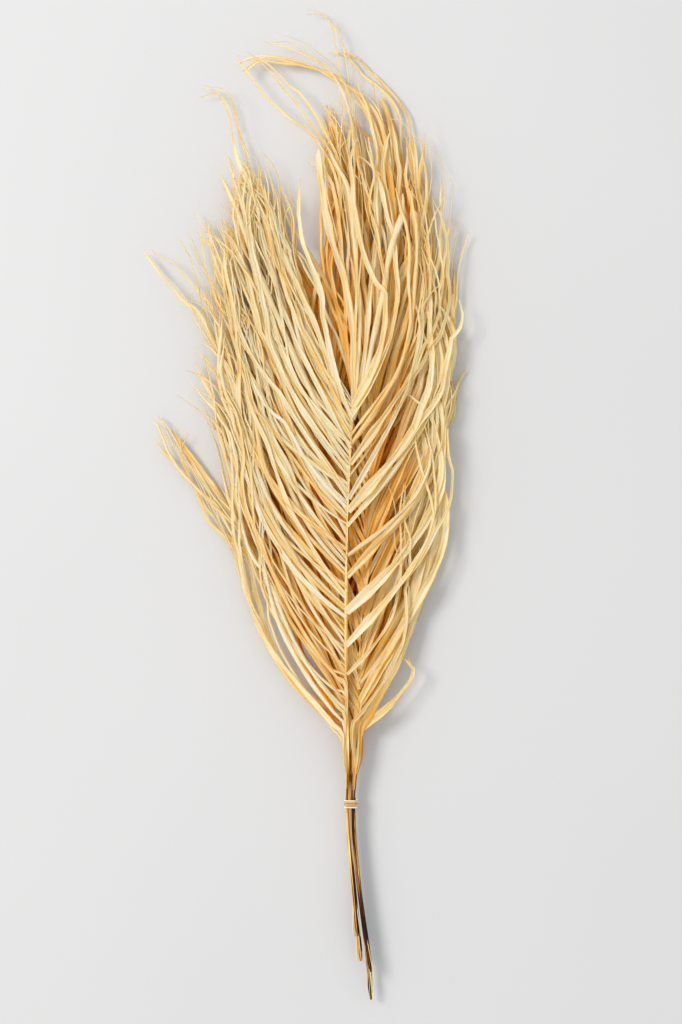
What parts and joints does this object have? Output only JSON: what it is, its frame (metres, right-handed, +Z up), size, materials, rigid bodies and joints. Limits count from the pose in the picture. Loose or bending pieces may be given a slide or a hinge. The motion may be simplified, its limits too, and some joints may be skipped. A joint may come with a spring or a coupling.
{
  "type": "dried areca palm bunch",
  "caption": "Tied bunch of dried areca palm fronds lying flat: slim cut stalks under a string, long narrow folded leaflets in a tall two-lobed plume.",
  "frame": {"origin": "middle of the bunch's footprint, on the surface that it lies on", "axes": "+Y along the bunch towards the leaf tips, +Z up from the surface, +X to the right of +Y seen from above"},
  "size_m": [0.3256, 0.9876, 0.0338],
  "materials": {
    "dried_palm": "matte",
    "string": "matte"
  },
  "bodies": {
    "root": {"frond_1": "dried_palm", "frond_2": "dried_palm", "frond_3": "dried_palm", "frond_4": "dried_palm", "tie": "string"}
  },
  "joints": []
}
